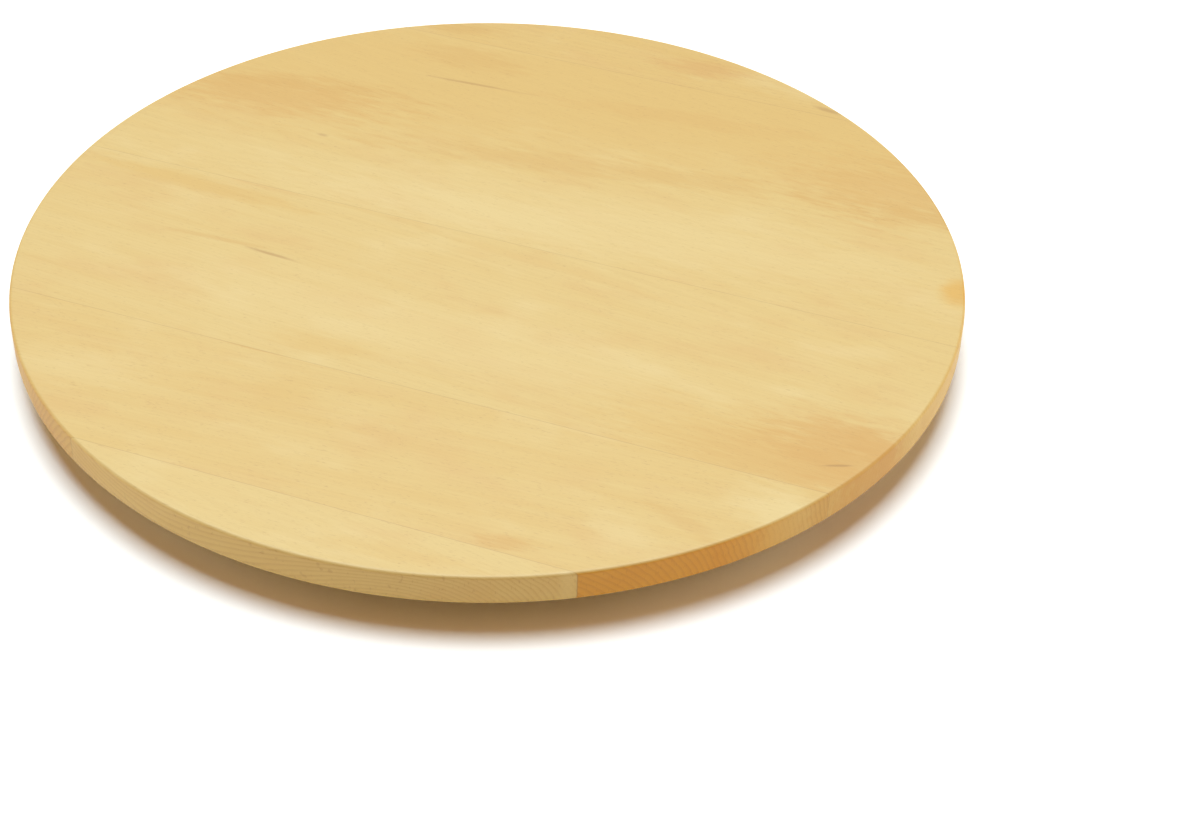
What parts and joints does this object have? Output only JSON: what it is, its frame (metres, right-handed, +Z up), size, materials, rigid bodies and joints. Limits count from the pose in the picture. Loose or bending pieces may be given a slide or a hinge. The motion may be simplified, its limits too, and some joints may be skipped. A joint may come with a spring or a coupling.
{
  "type": "lazy susan turntable",
  "caption": "Round wooden serving board that turns freely on a smaller round wooden base over a flat ball bearing.",
  "frame": {"origin": "on the plane that the feet stand on, on the axis that the board turns about", "axes": "+Z up along the turning axis, -Y towards the viewer, +X to the viewer's right"},
  "size_m": [0.6, 0.6, 0.04],
  "materials": {
    "board_beech": "sanded beech, clear satin oil",
    "base_beech": "sanded beech, clear satin oil",
    "zinc_plated_steel": "bright zinc-plated pressing",
    "ball_steel": "polished steel, greased",
    "cage_nylon": "natural nylon",
    "screw_steel": "zinc-plated",
    "foot_rubber": "matt black rubber"
  },
  "bodies": {
    "base": {"base_stave_1": "base_beech", "base_stave_2": "base_beech", "base_stave_3": "base_beech", "base_stave_4": "base_beech", "foot_1": "foot_rubber", "foot_2": "foot_rubber", "foot_3": "foot_rubber", "foot_4": "foot_rubber", "foot_5": "foot_rubber", "foot_6": "foot_rubber", "bearing_lower_plate": "zinc_plated_steel", "base_plate_screws": "screw_steel"},
    "ball_ring": {"ball_cage": "cage_nylon", "bearing_balls": "ball_steel"},
    "turntable": {"board_stave_1": "board_beech", "board_stave_2": "board_beech", "board_stave_3": "board_beech", "board_stave_4": "board_beech", "board_stave_5": "board_beech", "bearing_upper_plate": "zinc_plated_steel", "board_plate_screws": "screw_steel"}
  },
  "joints": [
    {"name": "turntable_spin", "type": "hinge", "parent": "base", "child": "turntable", "pos_m": [0, 0, 0.016], "axis": [0, 0, 1], "continuous": true},
    {"name": "ball_ring_spin", "type": "hinge", "parent": "base", "child": "ball_ring", "pos_m": [0, 0, 0.016], "axis": [0, 0, 1], "continuous": true}
  ],
  "couplings": [
    {"joint": "ball_ring_spin", "follows": "turntable_spin", "ratio": 0.5}
  ]
}
